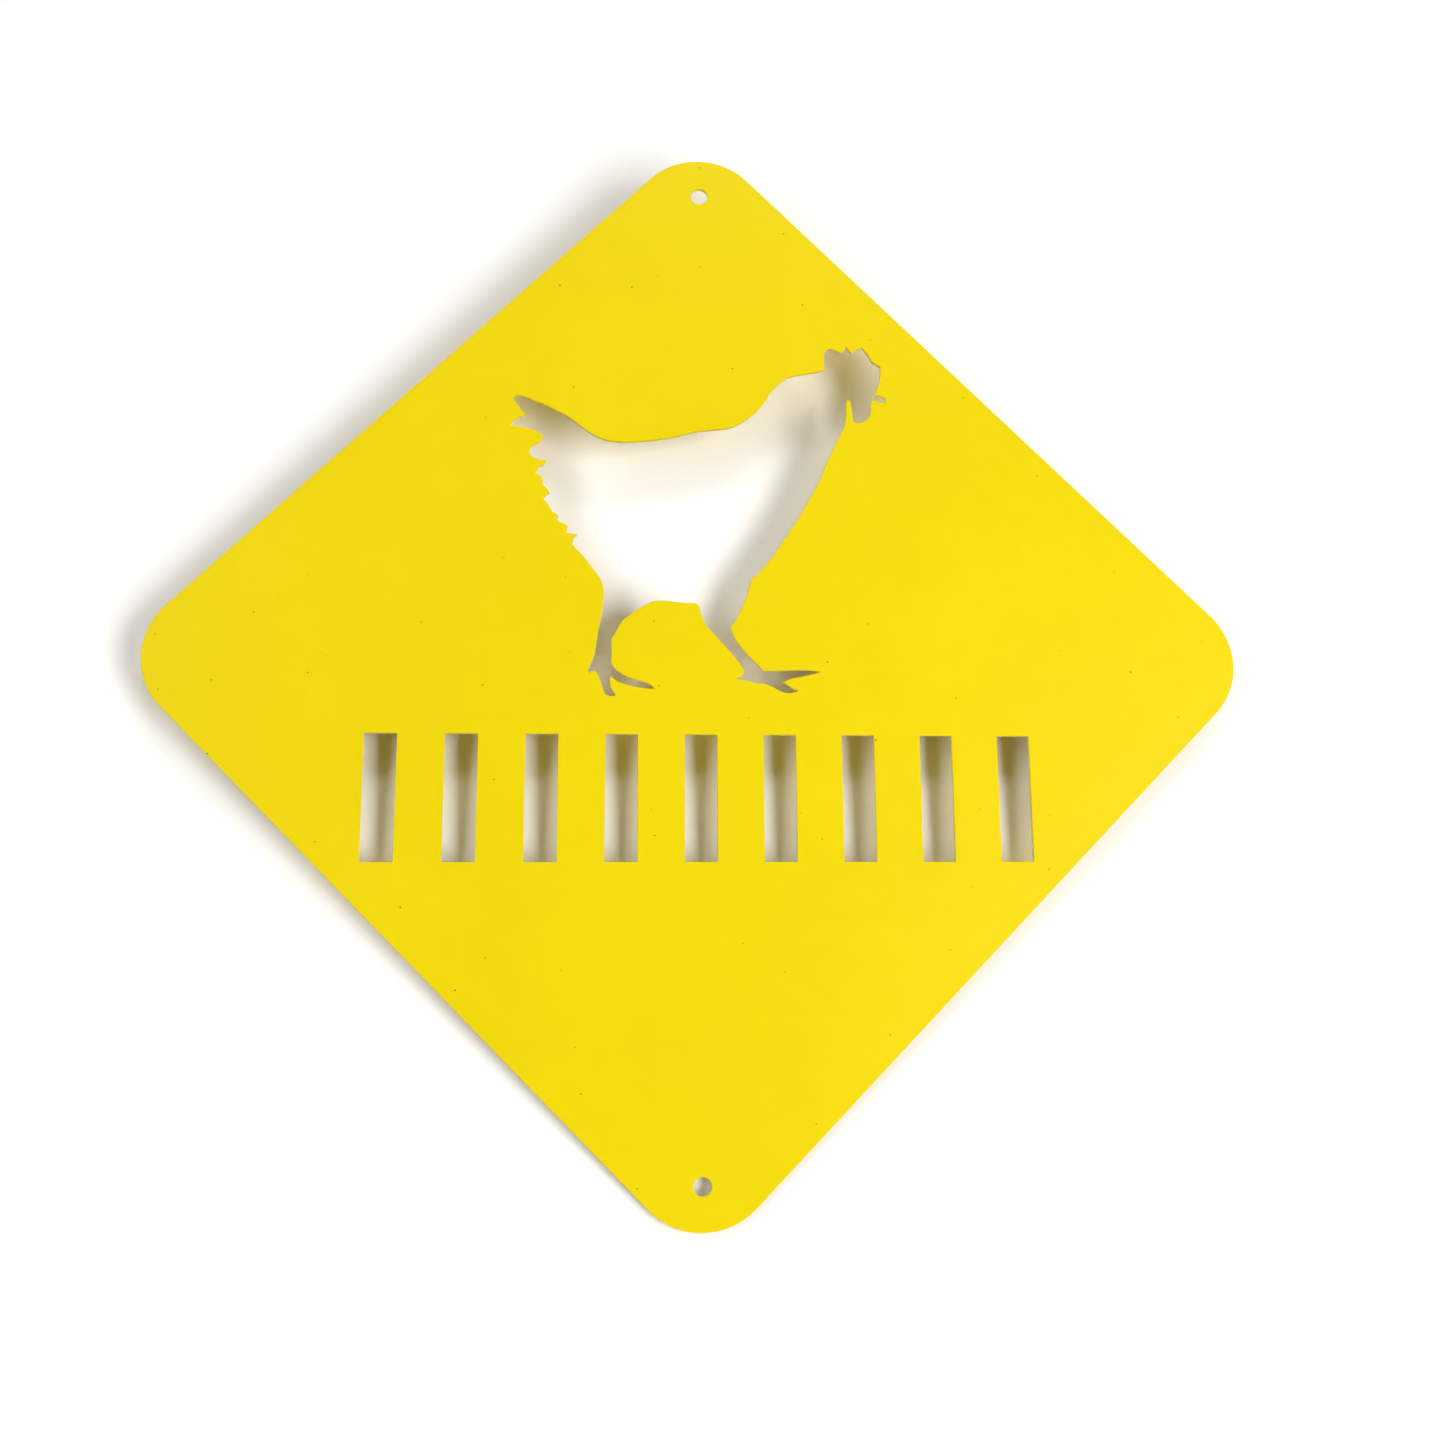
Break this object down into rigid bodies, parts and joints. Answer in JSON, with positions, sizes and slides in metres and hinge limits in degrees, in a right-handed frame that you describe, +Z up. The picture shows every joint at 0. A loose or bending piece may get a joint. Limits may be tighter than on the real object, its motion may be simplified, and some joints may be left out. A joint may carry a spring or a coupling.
{
  "type": "chicken crossing sign",
  "caption": "Diamond sheet-steel sign plate with rounded corners, a walking hen and a row of crossing bars cut through it, and fixing holes at its top and bottom corners.",
  "frame": {"origin": "middle of the back face, halfway between the two fixing holes", "axes": "+X to the viewer's right, +Y into the wall behind the plate, +Z up the plate's upright diagonal"},
  "size_m": [0.4086, 0.0015, 0.4086],
  "materials": {
    "yellow_powder_coat": "satin"
  },
  "bodies": {
    "root": {"sign_plate": "yellow_powder_coat"}
  },
  "joints": []
}
